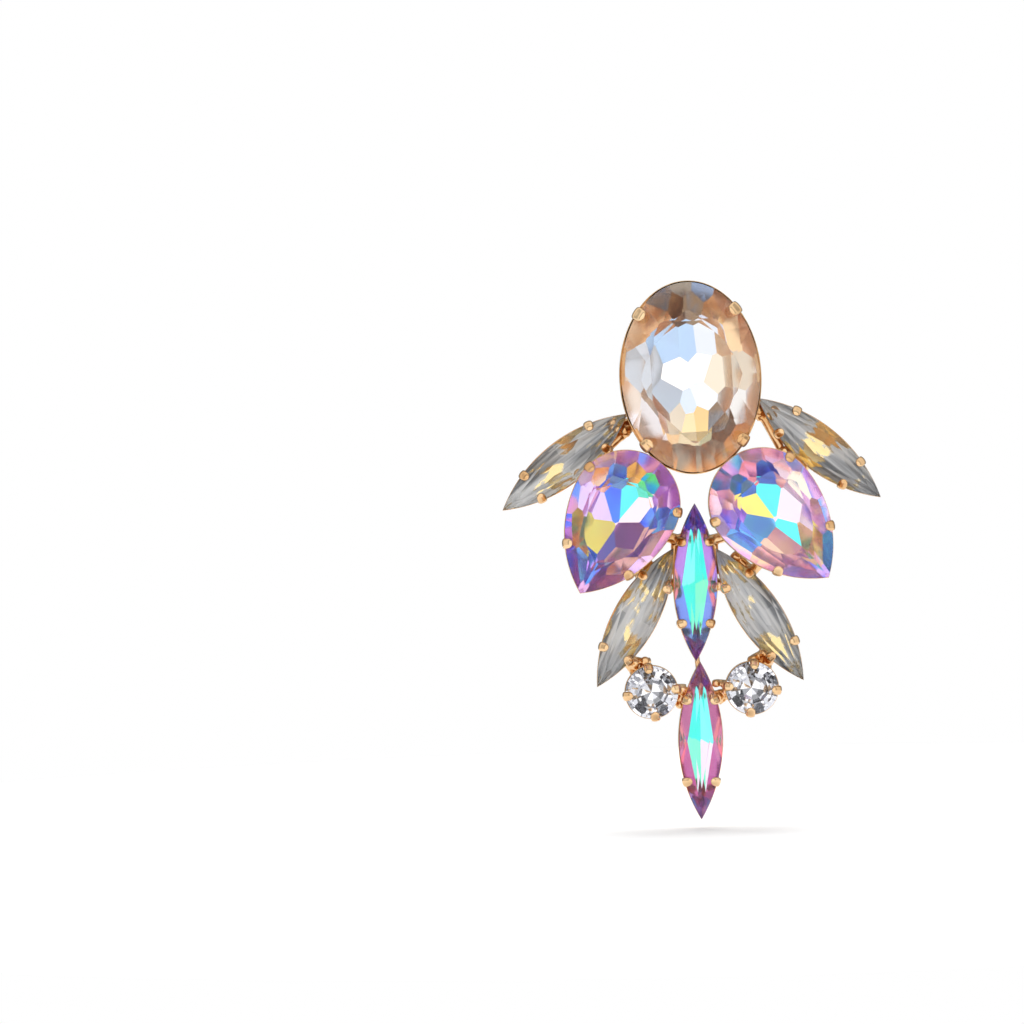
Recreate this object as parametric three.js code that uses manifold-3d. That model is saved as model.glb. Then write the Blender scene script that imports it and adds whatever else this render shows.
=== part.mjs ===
// A chandelier earring, in millimetres with +Z up. Its stones face -Y and the ear post points to +Y.
// The origin is on the post's axis, where the back of its pad lies on the ear lobe.
import * as THREE from "three";
import { ConvexGeometry } from "three/addons/geometries/ConvexGeometry.js";
import { mergeVertices } from "three/addons/utils/BufferGeometryUtils.js";
import Module from "manifold-3d";

const wasm = await Module();
wasm.setup();
const degree = Math.PI / 180;

// Stones: outline, crown above the girdle and pavilion below it
const ovalLength = 18;
const ovalWidth = 13;
const ovalCrown = 2.3;
const ovalPavilion = 3.2;
const pearLength = 14.6;
const pearWidth = 10.2;
const pearCrown = 1.9;
const pearPavilion = 2.6;
const navetteLength = 15;
const navetteWidth = 4;
const navetteCrown = 0.95;
const navettePavilion = 1.5;
const roundDiameter = 4.9;
const roundCrown = 0.95;
const roundPavilion = 1.9;
const girdleThickness = 0.24;

// Corners of the outlines, and the shares of outline and depth that the pavilions' facets meet at
const ovalCorners = 24;
const pearSteps = 6;
const navetteSteps = 5;
const roundCorners = 16;
const pavilionWaist = { share: 0.6, depth: 0.56 };
const culetShare = 0.12;

// Metal: cups, claws, solder bridges and post
const stoneClearance = 0.2;
const ovalLip = 0.35;
const smallLip = 0.17;
const cupWall = 0.45;
const cupFloor = 0.45;
const rimDrop = 0.14;
const cupShoulder = 0.6;
const cupBackShare = 0.64;
const clawWidth = 1.05;
const ovalClawWidth = 1.5;
const clawThickness = 0.34;
const clawReach = 0.75;
const clawFoot = 0.8;
const bridgeThickness = 1.05;
const tipBridgeThickness = 0.5;
const postDiameter = 0.9;
const postLength = 11;
const padDiameter = 5;
const padThickness = 0.6;
const padClearance = 0.25;

// Layout on the face of the earring. Angles open from straight down, away from the middle line.
const postRise = 2.5;
const pearLift = 0.9;
const ovalTurn = 1.9;
const navetteTurn = -1;
const solderOverlap = 0.1;
const leafTipOverlap = 0.2;
const wedgeGap = 0.6;
const leafTipGap = 0.06;
const dropGap = 0.3;
const dropShift = 0.1;
const settlingPasses = 12;
const sides = [
  {
    name: "left",
    sign: -1,
    pearAt: 28.6,
    pearLean: 28.8,
    outerLean: 53.8,
    outerGap: -0.5,
    innerLean: 30.3,
    innerFrom: 0.945,
    roundTurn: 52,
    roundDropGap: 0.6,
    roundLeafGap: 0.95,
  },
  {
    name: "right",
    sign: 1,
    pearAt: 30,
    pearLean: 39.5,
    outerLean: 49.6,
    outerGap: 0.3,
    innerLean: 32.2,
    innerFrom: 0.845,
    roundTurn: 39,
    roundDropGap: 0.95,
    roundLeafGap: 0.7,
  },
];

// Outlines run anticlockwise about the middle of their length, with the first end up.
function ellipse(length, width, corners) {
  const points = [];
  for (let i = 0; i < corners; i += 1) {
    const angle = (2 * Math.PI * i) / corners;
    points.push(new THREE.Vector2((width / 2) * Math.cos(angle), (length / 2) * Math.sin(angle)));
  }
  return points;
}

// Half of a pointed oval: an arc that starts upright at the widest place and ends at the tip.
function pointedArc(halfWidth, reach, steps) {
  const radius = (halfWidth ** 2 + reach ** 2) / (2 * halfWidth);
  const sweep = Math.asin(reach / radius);
  const points = [];
  for (let i = 0; i < steps; i += 1) {
    const angle = (sweep * i) / steps;
    const x = radius * Math.cos(angle) - radius + halfWidth;
    points.push(new THREE.Vector2(x, radius * Math.sin(angle)));
  }
  return points;
}

function navetteOutline(length, width, steps) {
  const quarter = pointedArc(width / 2, length / 2, steps);
  const tip = new THREE.Vector2(0, length / 2);
  const half = [...quarter, tip, ...quarter.slice(1).reverse().map((p) => new THREE.Vector2(-p.x, p.y))];
  return [...half, ...half.map((p) => p.clone().negate())];
}

function pearOutline(length, width, steps) {
  const head = width / 2;
  const rise = (length - width) / 2;
  const points = [];
  for (let i = 0; i < 2 * steps; i += 1) {
    const angle = (Math.PI * i) / (2 * steps);
    points.push(new THREE.Vector2(head * Math.cos(angle), head * Math.sin(angle) + rise));
  }
  const side = pointedArc(head, length - head, steps);
  side.forEach((p) => points.push(new THREE.Vector2(-p.x, rise - p.y)));
  points.push(new THREE.Vector2(0, rise - length + head));
  side.slice(1).reverse().forEach((p) => points.push(new THREE.Vector2(p.x, rise - p.y)));
  return points;
}

// Kinds of stone. Shares are of the outline or of the crown and pavilion. every is the step between the
// corners of the outline that a ring of facets uses, and clawShare places the claws along half of the length.
const oval = {
  outline: (grow) => ellipse(ovalLength + 2 * grow, ovalWidth + 2 * grow, ovalCorners),
  halfLength: ovalLength / 2,
  halfWidth: ovalWidth / 2,
  crown: ovalCrown,
  pavilion: ovalPavilion,
  lip: ovalLip,
  every: 3,
  table: 0.6,
  waist: { share: 0.83, height: 0.58 },
  clawShare: 0.7,
  clawWidth: ovalClawWidth,
};
const pear = {
  outline: (grow) => pearOutline(pearLength + 2 * grow, pearWidth + 2 * grow, pearSteps),
  halfLength: pearLength / 2,
  halfWidth: pearWidth / 2,
  crown: pearCrown,
  pavilion: pearPavilion,
  lip: smallLip,
  every: 3,
  table: 0.56,
  waist: { share: 0.82, height: 0.58 },
  clawShare: 0.52,
  clawWidth,
};
const navette = {
  outline: (grow) => navetteOutline(navetteLength + 2 * grow, navetteWidth + 2 * grow, navetteSteps),
  halfLength: navetteLength / 2,
  halfWidth: navetteWidth / 2,
  crown: navetteCrown,
  pavilion: navettePavilion,
  lip: smallLip,
  every: 2,
  table: 0.5,
  waist: { share: 0.76, height: 0.54 },
  clawShare: 0.53,
  clawWidth,
};
const round = {
  outline: (grow) => ellipse(roundDiameter + 2 * grow, roundDiameter + 2 * grow, roundCorners),
  halfLength: roundDiameter / 2,
  halfWidth: roundDiameter / 2,
  crown: roundCrown,
  pavilion: roundPavilion,
  lip: smallLip,
  every: 2,
  table: 0.56,
  waist: { share: 0.8, height: 0.58 },
  clawShare: Math.SQRT1_2,
  clawWidth,
};

// The lowest part of a cup is its floor, then a clearance, then the stone's point.
function girdleHeight(setting) {
  return setting.lift + cupFloor + stoneClearance + setting.kind.pavilion;
}

function downwards(angle) {
  return new THREE.Vector2(Math.sin(angle), -Math.cos(angle));
}

// The edge of a setting's cup as it lies on the face.
function laid(setting) {
  const turned = (p) => p.clone().rotateAround(new THREE.Vector2(), setting.turn).add(setting.centre);
  return setting.kind.outline(setting.kind.lip).map(turned);
}

// How far a setting goes along a way until its edge is a gap clear of the edge of another. Both are convex,
// so they are clear once one edge of either parts them.
function distanceToClear(setting, other, way, gap) {
  const moved = laid(setting);
  const fixed = laid(other);
  let least = Infinity;
  for (const outline of [moved, fixed]) {
    outline.forEach((corner, i) => {
      const edge = outline[(i + 1) % outline.length].clone().sub(corner);
      const out = new THREE.Vector2(edge.y, -edge.x).normalize();
      if (outline === moved) out.negate();
      const gain = out.dot(way);
      if (gain < 1e-3) return;
      const far = Math.max(...fixed.map((p) => p.dot(out))) + gap;
      const near = Math.min(...moved.map((p) => p.dot(out)));
      least = Math.min(least, (far - near) / gain);
    });
  }
  return least;
}

function placeAgainst(setting, way, neighbours) {
  const distances = neighbours.map(({ other, gap }) => distanceToClear(setting, other, way, gap));
  setting.centre.addScaledVector(way, Math.max(...distances));
}

// A point of a setting on the face, in shares of its half width and half length.
function pointOn(setting, across, along) {
  const local = new THREE.Vector2(across * setting.kind.halfWidth, along * setting.kind.halfLength);
  return local.rotateAround(new THREE.Vector2(), setting.turn).add(setting.centre);
}

function newSetting(name, kind, turn, colour, start = new THREE.Vector2()) {
  return { name, kind, turn, colour, centre: start.clone(), lift: 0 };
}

// Colours of the stones and of the metal
const champagne = 0xe8c79a;
const lilac = 0xb79ad8;
const grey = 0x8d8a86;
const turquoise = 0x5fd6cf;
const clear = 0xdfe3e8;
const roseGold = 0xe3b98a;

// The cups are laid as for soldering: each is pushed against those already in place.
const ovalSetting = newSetting("oval_stone", oval, ovalTurn * degree, champagne);
const pears = sides.map(({ name, sign, pearAt, pearLean }) => {
  const setting = newSetting(`pear_stone_${name}`, pear, sign * pearLean * degree, lilac);
  setting.lift = pearLift;
  placeAgainst(setting, downwards(sign * pearAt * degree), [{ other: ovalSetting, gap: -solderOverlap }]);
  return setting;
});
const centreSetting = newSetting("centre_navette_stone", navette, navetteTurn * degree, turquoise);
placeAgainst(centreSetting, downwards(0), pears.map((other) => ({ other, gap: wedgeGap })));
const dropSetting = newSetting("drop_navette_stone", navette, navetteTurn * degree, turquoise);
dropSetting.centre.x = dropShift;
placeAgainst(dropSetting, downwards(0), [{ other: centreSetting, gap: dropGap }]);
const outerLeaves = sides.map(({ name, sign, outerLean, outerGap }, i) => {
  const lean = sign * outerLean * degree;
  const setting = newSetting(`outer_leaf_stone_${name}`, navette, lean, grey, pears[i].centre);
  placeAgainst(setting, downwards(lean + (sign * Math.PI) / 2), [{ other: pears[i], gap: outerGap }]);
  placeAgainst(setting, downwards(lean), [{ other: ovalSetting, gap: -leafTipOverlap }]);
  return setting;
});
const innerLeaves = sides.map(({ name, sign, innerLean, innerFrom }, i) => {
  const lean = sign * innerLean * degree;
  const start = pointOn(centreSetting, 0, innerFrom);
  const setting = newSetting(`inner_leaf_stone_${name}`, navette, lean, grey, start);
  placeAgainst(setting, downwards(lean), [
    { other: centreSetting, gap: leafTipGap },
    { other: pears[i], gap: -solderOverlap },
  ]);
  return setting;
});
// A round stone hangs between a leaf and the drop: it clears the drop sideways, and the leaf downwards.
const rounds = sides.map(({ name, sign, roundTurn, roundDropGap, roundLeafGap }, i) => {
  const start = pointOn(innerLeaves[i], 0, -1);
  const setting = newSetting(`round_stone_${name}`, round, roundTurn * degree, clear, start);
  for (let pass = 0; pass < settlingPasses; pass += 1) {
    placeAgainst(setting, new THREE.Vector2(sign, 0), [{ other: dropSetting, gap: roundDropGap }]);
    placeAgainst(setting, downwards(0), [{ other: innerLeaves[i], gap: roundLeafGap }]);
  }
  return setting;
});
const navettes = [...outerLeaves, ...innerLeaves, centreSetting, dropSetting];
const settings = [ovalSetting, ...pears, ...navettes, ...rounds];

// A closed geometry as a solid that can be joined and cut
function solid(geometry) {
  geometry.deleteAttribute("normal");
  geometry.deleteAttribute("uv");
  const merged = mergeVertices(geometry, 1e-4);
  const vertProperties = new Float32Array(merged.attributes.position.array);
  const triVerts = new Uint32Array(merged.index.array);
  return new wasm.Manifold(new wasm.Mesh({ numProp: 3, vertProperties, triVerts }));
}

function geometryOf(shape) {
  const { vertProperties, triVerts } = shape.getMesh();
  const geometry = new THREE.BufferGeometry();
  geometry.setAttribute("position", new THREE.BufferAttribute(vertProperties, 3));
  geometry.setIndex(new THREE.BufferAttribute(triVerts, 1));
  geometry.computeVertexNormals();
  return geometry;
}

// A convex body from rings of an outline's corners, each with a share of the outline and a height.
function ringBody(outline, rings) {
  const points = [];
  for (const { share = 1, height, every = 1, from = 0 } of rings) {
    for (let i = from; i < outline.length; i += every) {
      points.push(new THREE.Vector3(outline[i].x * share, outline[i].y * share, height));
    }
  }
  return new ConvexGeometry(points);
}

// A cut stone with its girdle at height 0 and its table up. grow gives the room that it needs in the metal.
function stoneBody(kind, grow = 0) {
  const { crown, pavilion, table, waist, every } = kind;
  const girdle = girdleThickness / 2 + grow;
  return ringBody(kind.outline(grow), [
    { height: girdle },
    { height: -girdle },
    { share: waist.share, height: waist.height * crown + grow, every, from: Math.floor(every / 2) },
    { share: table, height: crown + grow, every },
    { share: pavilionWaist.share, height: -pavilionWaist.depth * pavilion - grow, every },
    { share: culetShare, height: -pavilion - grow, every },
  ]);
}

// The outside of a cup, open in front of its rim, with a narrower back.
function cupBody(kind) {
  const back = -kind.pavilion - stoneClearance - cupFloor;
  const rim = -girdleThickness / 2 - rimDrop;
  return ringBody(kind.outline(kind.lip), [
    { height: rim },
    { height: rim - cupShoulder },
    { share: cupBackShare, height: back },
  ]);
}

// The hollow of a cup behind its stone.
function cupHollow(kind) {
  const floor = -kind.pavilion - stoneClearance;
  const rim = -girdleThickness / 2 - rimDrop;
  return ringBody(kind.outline(-cupWall), [
    { height: 0 },
    { height: rim - cupShoulder },
    { share: cupBackShare, height: floor },
  ]);
}

// Where an outline crosses a height on one side, with the way that points out of it there.
function edgeAt(outline, side, y) {
  for (let i = 0; i < outline.length; i += 1) {
    const a = outline[i];
    const b = outline[(i + 1) % outline.length];
    if (side * (a.x + b.x) <= 0 || (a.y - y) * (b.y - y) > 0) continue;
    const point = a.clone().lerp(b, (y - a.y) / (b.y - a.y));
    const out = new THREE.Vector2(b.y - a.y, a.x - b.x).normalize();
    return { point, out };
  }
  throw new Error("the outline has no such height");
}

// A claw: a tab from the cup's wall that folds over the girdle onto the crown. The stone's room trims it.
// Its rows of two corners go from the foot up the outside and over the edge to the tip.
function clawBody(kind) {
  const slope = (kind.waist.height * kind.crown) / ((1 - kind.waist.share) * kind.halfWidth);
  const outside = kind.lip + clawThickness / 2;
  const top = girdleThickness / 2 + stoneClearance + clawThickness;
  const half = kind.clawWidth / 2;
  const rows = [
    { out: -cupWall / 2, up: -clawFoot, half: 0.8 * half },
    { out: outside - clawThickness / 2, up: -clawFoot, half: 0.8 * half },
    { out: outside, up: 0, half },
    { out: outside - clawThickness / 2, up: top, half: 0.8 * half },
    { out: -clawReach / 3, up: top + (slope * clawReach) / 2, half },
    { out: -clawReach, up: top + slope * clawReach, half: 0.5 * half },
    { out: -clawReach - clawThickness / 3, up: top - clawThickness + slope * clawReach, half: 0.6 * half },
    { out: -clawReach, up: 0, half: 0.6 * half },
  ];
  const corners = rows.flatMap((row) => [
    new THREE.Vector3(row.out, row.up, -row.half),
    new THREE.Vector3(row.out, row.up, row.half),
  ]);
  return new ConvexGeometry(corners);
}

function clawsOf(setting) {
  const { kind } = setting;
  const claws = [];
  for (const side of [-1, 1]) {
    for (const end of [-1, 1]) {
      const { point, out } = edgeAt(kind.outline(0), side, end * kind.clawShare * kind.halfLength);
      const outward = new THREE.Vector3(out.x, out.y, 0);
      const up = new THREE.Vector3(0, 0, 1);
      const place = new THREE.Matrix4().makeBasis(outward, up, outward.clone().cross(up));
      place.setPosition(point.x, point.y, 0);
      claws.push(clawBody(kind).applyMatrix4(place));
    }
  }
  return claws;
}

// Puts a geometry that is drawn about a stone's girdle where its setting lies.
function onFace(geometry, setting) {
  const { x, y } = setting.centre;
  return geometry.rotateZ(setting.turn).translate(x, y, girdleHeight(setting));
}

// Solder bridges. Each runs between two settings, from and to a share of their half width and half length.
const bridges = sides.flatMap(({ sign }, i) => [
  { from: ovalSetting, start: [0.55 * sign, -0.35], to: outerLeaves[i], end: [0, 0.6] },
  { from: ovalSetting, start: [0.3 * sign, -0.6], to: pears[i], end: [0, 0.3] },
  { from: pears[i], start: [0.1 * sign, 0.2], to: outerLeaves[i], end: [0, 0] },
  { from: pears[i], start: [-0.5 * sign, 0.1], to: centreSetting, end: [0, 0.5] },
  { from: pears[i], start: [-0.2 * sign, -0.25], to: innerLeaves[i], end: [0, 0.45] },
  { from: centreSetting, start: [0, -0.03], to: innerLeaves[i], end: [0, 0.47] },
  { from: rounds[i], start: [0, 0], to: innerLeaves[i], end: [0, -0.47] },
  { from: rounds[i], start: [0, 0], to: dropSetting, end: [0, 0.52] },
]);
bridges.push({
  from: centreSetting,
  start: [0, -0.75],
  to: dropSetting,
  end: [0, 0.75],
  thickness: tipBridgeThickness,
});

function bridgeBody({ from, start, to, end, thickness = bridgeThickness }) {
  const a = pointOn(from, ...start);
  const b = pointOn(to, ...end);
  const bar = new THREE.CylinderGeometry(thickness / 2, thickness / 2, a.distanceTo(b), 8);
  const height = Math.max(from.lift, to.lift, bridgeThickness / 2) + cupFloor / 2;
  bar.rotateZ(b.clone().sub(a).angle() - Math.PI / 2);
  return bar.translate((a.x + b.x) / 2, (a.y + b.y) / 2, height);
}

// The soldered metal: cups, claws and bridges joined, then cleared for the stones and hollowed behind them.
function goldFrame() {
  let metal = null;
  const join = (geometry) => {
    metal = metal ? metal.add(solid(geometry)) : solid(geometry);
  };
  for (const setting of settings) {
    join(onFace(cupBody(setting.kind), setting));
    for (const claw of clawsOf(setting)) join(onFace(claw, setting));
  }
  for (const bridge of bridges) join(bridgeBody(bridge));
  for (const setting of settings) {
    metal = metal.subtract(solid(onFace(cupHollow(setting.kind), setting)));
    metal = metal.subtract(solid(onFace(stoneBody(setting.kind, stoneClearance), setting)));
  }
  return geometryOf(metal);
}

// The pin and the pad behind the oval's cup, turned about one axis.
function earPost() {
  const front = -padClearance;
  const padBack = front - padThickness;
  const pin = postDiameter / 2;
  const tip = padBack - postLength;
  const profile = [
    new THREE.Vector2(0, tip),
    new THREE.Vector2(pin / 2, tip),
    new THREE.Vector2(pin, tip + pin),
    new THREE.Vector2(pin, padBack),
    new THREE.Vector2(padDiameter / 2, padBack),
    new THREE.Vector2(padDiameter / 2, front),
    new THREE.Vector2(0, front),
  ];
  return new THREE.LatheGeometry(profile, 16).rotateX(Math.PI / 2).translate(0, postRise, 0);
}

function metalMaterial() {
  return new THREE.MeshStandardMaterial({ color: roseGold, roughness: 0.22, metalness: 1 });
}

function stoneMesh(setting) {
  const material = new THREE.MeshStandardMaterial({ color: setting.colour, roughness: 0.05, metalness: 0 });
  const mesh = new THREE.Mesh(stoneBody(setting.kind), material);
  mesh.name = setting.name;
  mesh.position.set(setting.centre.x, setting.centre.y, girdleHeight(setting));
  mesh.rotation.z = setting.turn;
  return mesh;
}

// The face is drawn with X to the right, Y up and Z towards the viewer, and then stood upright.
const face = new THREE.Group();
const frame = new THREE.Mesh(goldFrame(), metalMaterial());
frame.name = "gold_frame";
const post = new THREE.Mesh(earPost(), metalMaterial());
post.name = "ear_post";
face.add(frame, post, ...settings.map(stoneMesh));
face.rotation.x = Math.PI / 2;
face.position.set(0, -padClearance - padThickness, -postRise);

const earring = new THREE.Group();
earring.name = "chandelier_earring";
earring.add(face);
export default earring;
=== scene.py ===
import math

import bmesh
import bpy
from mathutils import Matrix, Vector, noise


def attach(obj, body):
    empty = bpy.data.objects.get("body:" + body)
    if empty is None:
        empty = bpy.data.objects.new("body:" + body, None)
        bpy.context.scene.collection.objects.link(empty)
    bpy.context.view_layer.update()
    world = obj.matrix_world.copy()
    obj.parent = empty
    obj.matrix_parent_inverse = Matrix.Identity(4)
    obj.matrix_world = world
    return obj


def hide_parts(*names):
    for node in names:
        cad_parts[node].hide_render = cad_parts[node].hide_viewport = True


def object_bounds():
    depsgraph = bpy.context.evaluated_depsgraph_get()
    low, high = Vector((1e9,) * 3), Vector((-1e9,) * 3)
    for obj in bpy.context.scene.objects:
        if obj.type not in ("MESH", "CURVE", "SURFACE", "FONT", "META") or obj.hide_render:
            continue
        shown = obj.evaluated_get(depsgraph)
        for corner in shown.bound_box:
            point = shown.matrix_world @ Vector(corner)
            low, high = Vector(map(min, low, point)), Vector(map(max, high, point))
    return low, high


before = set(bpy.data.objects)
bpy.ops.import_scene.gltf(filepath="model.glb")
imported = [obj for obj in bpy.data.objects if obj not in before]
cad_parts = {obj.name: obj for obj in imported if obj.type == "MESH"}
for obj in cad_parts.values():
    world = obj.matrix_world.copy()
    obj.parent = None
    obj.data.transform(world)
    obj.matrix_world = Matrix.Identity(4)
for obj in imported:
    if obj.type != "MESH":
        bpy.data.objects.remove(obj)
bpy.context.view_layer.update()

# The large oval stone: champagne crystal glass with a flat table, a faceted crown and a foiled pavilion.
# It is cut from a straight blank, one flat at a time, and lies in the top cup. Lengths are in millimetres.
mm = 0.001
girdle = 0.24
oval = {
    "half_width": 6.5, "half_length": 9.0, "crown": 2.3, "pavilion": 3.2, "shape": "ellipse",
    "lip": 0.35, "cover": 0.17, "claw_at": 0.7, "claw_width": 1.25, "claw_slope": 1.2,
}
oval_place = (0.0, 0.0, 3.85, 1.9)
# Each row of crown flats: where it starts and ends, in shares of the way out and of the crown's height, and
# its azimuths in degrees, anticlockwise from the right.
oval_crown = [
    (1.0, 0.0, 0.8, 0.56, [22.5 * k + 11.25 for k in range(16)]),
    (0.84, 0.46, 0.62, 1.0, [45 * k + 22.5 for k in range(8)]),
    (0.7, 0.86, 0.58, 1.0, [45 * k for k in range(8)]),
]
oval_tones = {
    "white": (252, 252, 254), "sky": (180, 208, 244), "mist": (206, 219, 240), "pale": (226, 234, 248),
    "cream": (243, 231, 214), "champagne": (255, 229, 184), "gold": (246, 210, 150), "tan": (246, 212, 172),
    "copper": (228, 182, 142), "umber": (146, 122, 104), "ash": (152, 146, 144), "steel": (172, 186, 212),
    "pearl": (240, 238, 246),
}
# Each flat of the pavilion: its steepness, its azimuth and the tone of its foil. Cream, champagne, gold, tan
# and copper are the stone's own colours; white, pale, pearl, sky, mist and steel are painted reflections of
# the bright, bluish room, and umber and ash are painted dark reflections.
oval_facets = [
    (0.36, 92, "sky"), (0.44, 52, "pale"), (0.44, 134, "sky"), (0.34, 2, "cream"), (0.2, 24, "white"),
    (0.18, 168, "white"), (0.36, 208, "mist"), (0.32, 256, "mist"), (0.28, 318, "pale"),
    (0.42, 238, "cream"), (0.44, 262, "champagne"), (0.44, 288, "gold"),
    (0.64, 2, "cream"), (0.7, 28, "tan"), (0.74, 54, "tan"), (0.76, 80, "ash"), (0.76, 104, "umber"),
    (0.7, 130, "copper"), (0.64, 168, "pale"), (0.64, 212, "pearl"), (0.58, 316, "ash"),
    (0.64, 338, "white"),
    (0.84, 346, "white"), (0.86, 20, "copper"), (0.88, 46, "copper"), (0.88, 72, "steel"),
    (0.9, 94, "steel"), (0.83, 117, "steel"), (0.84, 152, "tan"), (0.86, 192, "pearl"),
    (0.88, 228, "pale"), (0.81, 262, "tan"), (0.81, 292, "tan"), (0.86, 320, "tan"),
]


def outline_point(kind, turn, grow):
    """The outline's point at a turn of its circle, grown by a lip."""
    width, length = kind["half_width"] + grow, kind["half_length"] + grow
    c, s = math.cos(turn), math.sin(turn)
    if kind["shape"] == "ellipse":
        return width * c, length * s
    head = length - width if kind["shape"] == "pear" else 0.0
    if head and s >= 0:
        return width * c, width * s + head
    reach = length + head
    radius = (width ** 2 + reach ** 2) / (2 * width)
    lean = math.asin(reach / radius) * math.asin(max(-1.0, min(1.0, s))) / (math.pi / 2)
    return math.copysign(radius * math.cos(lean) - radius + width, c), radius * math.sin(lean) + head


def outline_face(bm, kind, corners, grow=0.0, share=1.0, height=0.0):
    """A flat face in the outline's shape. Each corner keeps its turn for the rings that follow."""
    turn = bm.verts.layers.float.get("turn") or bm.verts.layers.float.new("turn")
    made = bmesh.ops.create_circle(bm, cap_ends=True, segments=corners, radius=1.0)["verts"]
    for v in made:
        v[turn] = math.atan2(v.co.y, v.co.x)
        x, y = outline_point(kind, v[turn], grow)
        v.co = Vector((x * share, y * share, height))
    return made


def grind(bm, point, normal, tone, tone_layer):
    """Grinds everything beyond a plane off a convex blank, and gives the new flat its tone."""
    whole = bm.verts[:] + bm.edges[:] + bm.faces[:]
    cut = bmesh.ops.bisect_plane(bm, geom=whole, dist=1e-4, plane_co=point, plane_no=normal, clear_outer=True)
    rim = [e for e in cut["geom_cut"] if isinstance(e, bmesh.types.BMEdge)]
    if len(rim) < 3:
        return
    for face in bmesh.ops.contextual_create(bm, geom=rim)["faces"]:
        face[tone_layer] = tone


def toward(azimuth):
    """The flat direction of an azimuth in degrees."""
    return Vector((math.cos(math.radians(azimuth)), math.sin(math.radians(azimuth))))


def cut_stone(kind, crown_rows, pavilion_facets, tones, culet, edge, corners=96):
    """A cut stone about its girdle, table up. Tone 0 is the clear crown, and the others are the foil's, in
    which reflections of light and dark are painted.
    """
    bm = bmesh.new()
    tone_layer = bm.faces.layers.int.new("tone")
    outline_face(bm, kind, corners, grow=kind["cover"], height=-kind["pavilion"])
    top = bmesh.ops.extrude_face_region(bm, geom=bm.faces[:])["geom"]
    tall = kind["crown"] + kind["pavilion"]
    bmesh.ops.translate(bm, vec=(0, 0, tall), verts=[v for v in top if isinstance(v, bmesh.types.BMVert)])
    bmesh.ops.recalc_face_normals(bm, faces=bm.faces)
    outline = [v.co.xy for v in bm.verts]
    names = list(tones)
    for face in bm.faces:
        low_face = face.calc_center_median().z < -0.99 * kind["pavilion"]
        face[tone_layer] = names.index(culet if low_face else edge) + 1
    table = max(bm.faces, key=lambda face: face.calc_center_median().z)
    table[tone_layer] = 0

    rise, fall = kind["crown"] - girdle / 2, kind["pavilion"] - girdle / 2
    for outer, low, inner, high, azimuths in crown_rows:
        for azimuth in azimuths:
            way = toward(azimuth)
            reach = max(p.dot(way) for p in outline)
            drop = (high - low) * rise / ((outer - inner) * reach)
            foot = way * reach * outer
            normal = Vector((way.x * drop, way.y * drop, 1)).normalized()
            grind(bm, (foot.x, foot.y, girdle / 2 + low * rise), normal, 0, tone_layer)
    depth = fall / (1 + min(facet[0] for facet in pavilion_facets) ** 2)
    for share, azimuth, tone in pavilion_facets:
        way = toward(azimuth)
        reach = max(p.dot(way) for p in outline)
        foot = way * reach
        slope = 2 * depth * share / reach
        normal = Vector((way.x * slope, way.y * slope, -1)).normalized()
        height = -girdle / 2 - depth * (1 - share) ** 2
        grind(bm, (foot.x, foot.y, height), normal, names.index(tone) + 1, tone_layer)

    bmesh.ops.recalc_face_normals(bm, faces=bm.faces)
    # Each flat's foil tone, with its painted reflections of light and dark, is kept as a colour for the foil to
    # read.
    tint = bm.loops.layers.float_color.new("facet_tone_and_painted_light")
    plan = bm.loops.layers.uv.new("stone_plan")
    palette = [(1, 1, 1)] + list(tones.values())
    for face in bm.faces:
        face.material_index = 1 if face[tone_layer] else 0
        for loop in face.loops:
            loop[tint] = (*dye(*palette[face[tone_layer]]), 1) if face[tone_layer] else (1, 1, 1, 1)
            loop[plan].uv = loop.vert.co.xy
    return bm


def dye(red, green, blue):
    """A colour given as screen values, made linear."""
    return tuple(((v / 255 + 0.055) / 1.055) ** 2.4 if v > 10 else v / 3295 for v in (red, green, blue))


def on_face(place):
    """From a stone's own frame, with its table up, to its place on the upright earring, in metres."""
    x, y, lift, turn = place
    face_middle = (0, -0.85, -2.5)
    upright = Matrix.Translation(face_middle) @ Matrix.Rotation(math.pi / 2, 4, "X")
    here = Matrix.Translation((x, y, lift)) @ Matrix.Rotation(math.radians(turn), 4, "Z")
    return Matrix.Scale(mm, 4) @ upright @ here


def finished(name, bm, *materials):
    """Makes a mesh object of a finished bmesh."""
    mesh = bpy.data.meshes.new(name)
    bm.to_mesh(mesh)
    bm.free()
    for material in materials:
        mesh.materials.append(material)
    piece = bpy.data.objects.new(name, mesh)
    bpy.context.scene.collection.objects.link(piece)
    return piece


def new_material(name):
    """A material with one principled shader."""
    material = bpy.data.materials.new(name)
    material.use_nodes = True
    nodes, links = material.node_tree.nodes, material.node_tree.links
    return material, nodes, links, nodes["Principled BSDF"]


def crown_glass(name, tint):
    """Clear glass for a crown, with the faintest cloudiness."""
    material, nodes, links, shader = new_material(name)
    cloud = nodes.new("ShaderNodeTexNoise")
    cloud.inputs["Scale"].default_value = 400
    ramp = nodes.new("ShaderNodeValToRGB")
    ramp.color_ramp.elements[0].color = (*dye(*tint), 1)
    ramp.color_ramp.elements[1].color = (*dye(*[min(255, v + 6) for v in tint]), 1)
    place = nodes.new("ShaderNodeTexCoord")
    links.new(place.outputs["Object"], cloud.inputs["Vector"])
    links.new(cloud.outputs["Fac"], ramp.inputs["Fac"])
    links.new(ramp.outputs["Color"], shader.inputs["Base Color"])
    shader.inputs["Transmission Weight"].default_value = 1.0
    shader.inputs["Roughness"].default_value = 0.0
    shader.inputs["IOR"].default_value = 1.5
    return material


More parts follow.
